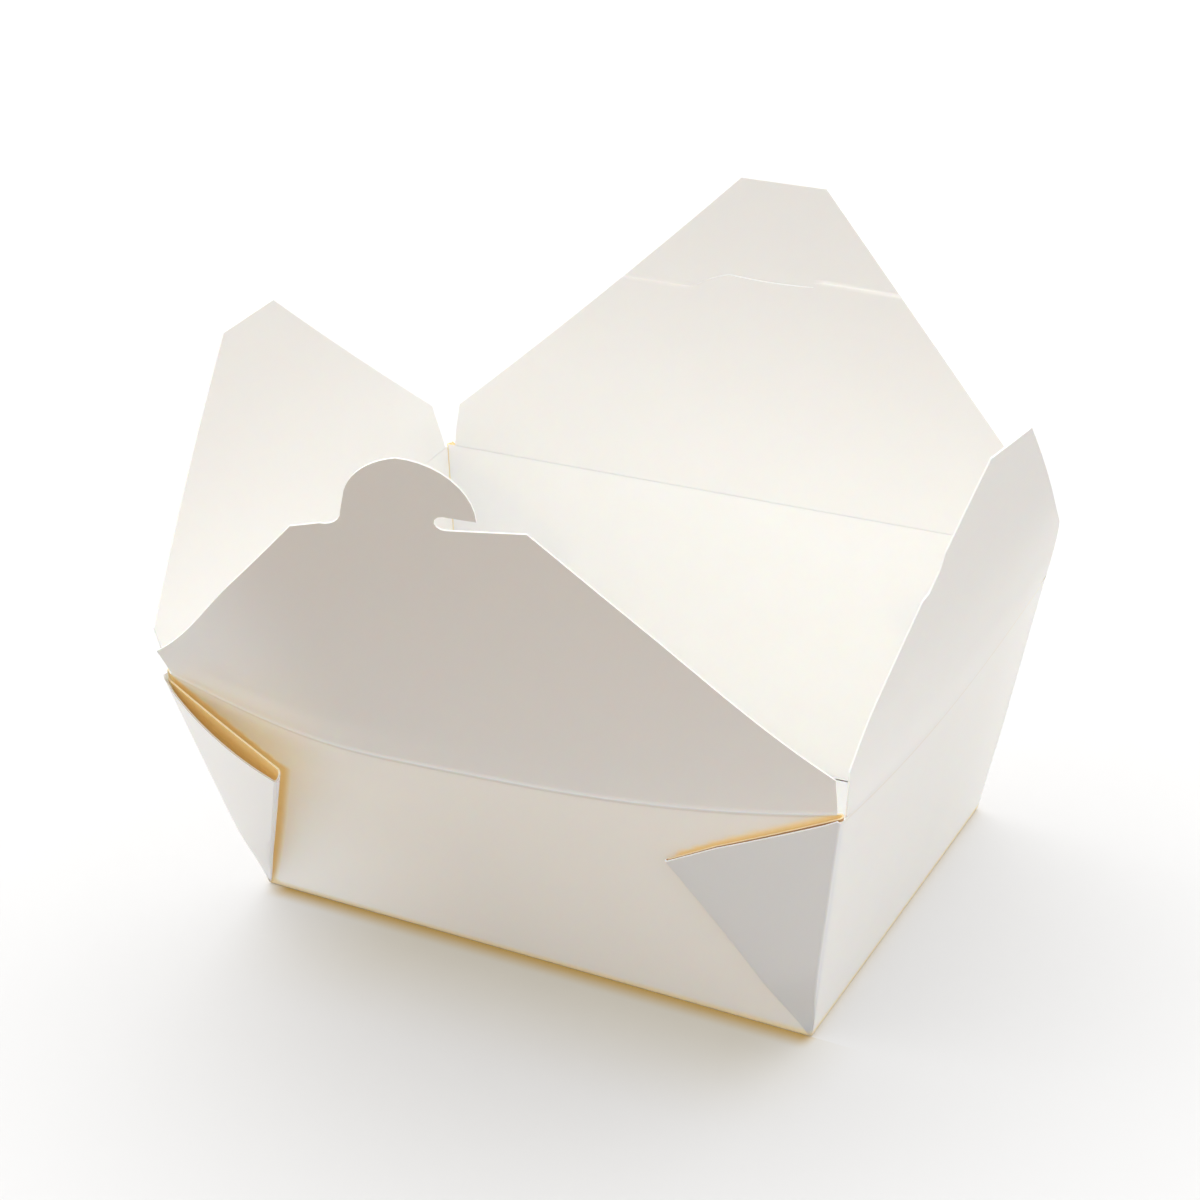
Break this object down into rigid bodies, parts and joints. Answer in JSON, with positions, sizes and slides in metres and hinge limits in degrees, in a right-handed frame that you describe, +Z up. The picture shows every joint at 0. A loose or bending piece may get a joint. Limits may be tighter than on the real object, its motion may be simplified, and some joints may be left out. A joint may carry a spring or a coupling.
{
  "type": "takeaway box",
  "caption": "Open folded-board takeaway food carton: tapered tray with folded corner gussets and hinged lid flaps, one with a hook lock tab and the opposite one with a slit.",
  "frame": {"origin": "on the table under the middle of the tray's base", "axes": "+X to the right and -Y to the front as seen facing the flap with the hook, +Z up out of the tray's mouth"},
  "size_m": [0.2044, 0.2227, 0.1609],
  "materials": {
    "board": "coated white food board, satin"
  },
  "bodies": {
    "carton_body": {"carton_body": "board"},
    "front_flap": {"front_flap": "board"},
    "back_flap": {"back_flap": "board"},
    "left_flap": {"left_flap": "board"},
    "right_flap": {"right_flap": "board"}
  },
  "joints": [
    {"name": "front_flap_hinge", "type": "hinge", "parent": "carton_body", "child": "front_flap", "pos_m": [0, -0.07427, 0.07175], "axis": [-1, 0, 0], "range_deg": [-65, 105]},
    {"name": "back_flap_hinge", "type": "hinge", "parent": "carton_body", "child": "back_flap", "pos_m": [0, 0.0741, 0.07105], "axis": [1, 0, 0], "range_deg": [-85, 111.5]},
    {"name": "left_flap_hinge", "type": "hinge", "parent": "carton_body", "child": "left_flap", "pos_m": [-0.08852, 0, 0.07035], "axis": [0, 1, 0], "range_deg": [-95, 105]},
    {"name": "right_flap_hinge", "type": "hinge", "parent": "carton_body", "child": "right_flap", "pos_m": [0.08852, 0, 0.07035], "axis": [0, -1, 0], "range_deg": [-85, 108.5]}
  ]
}
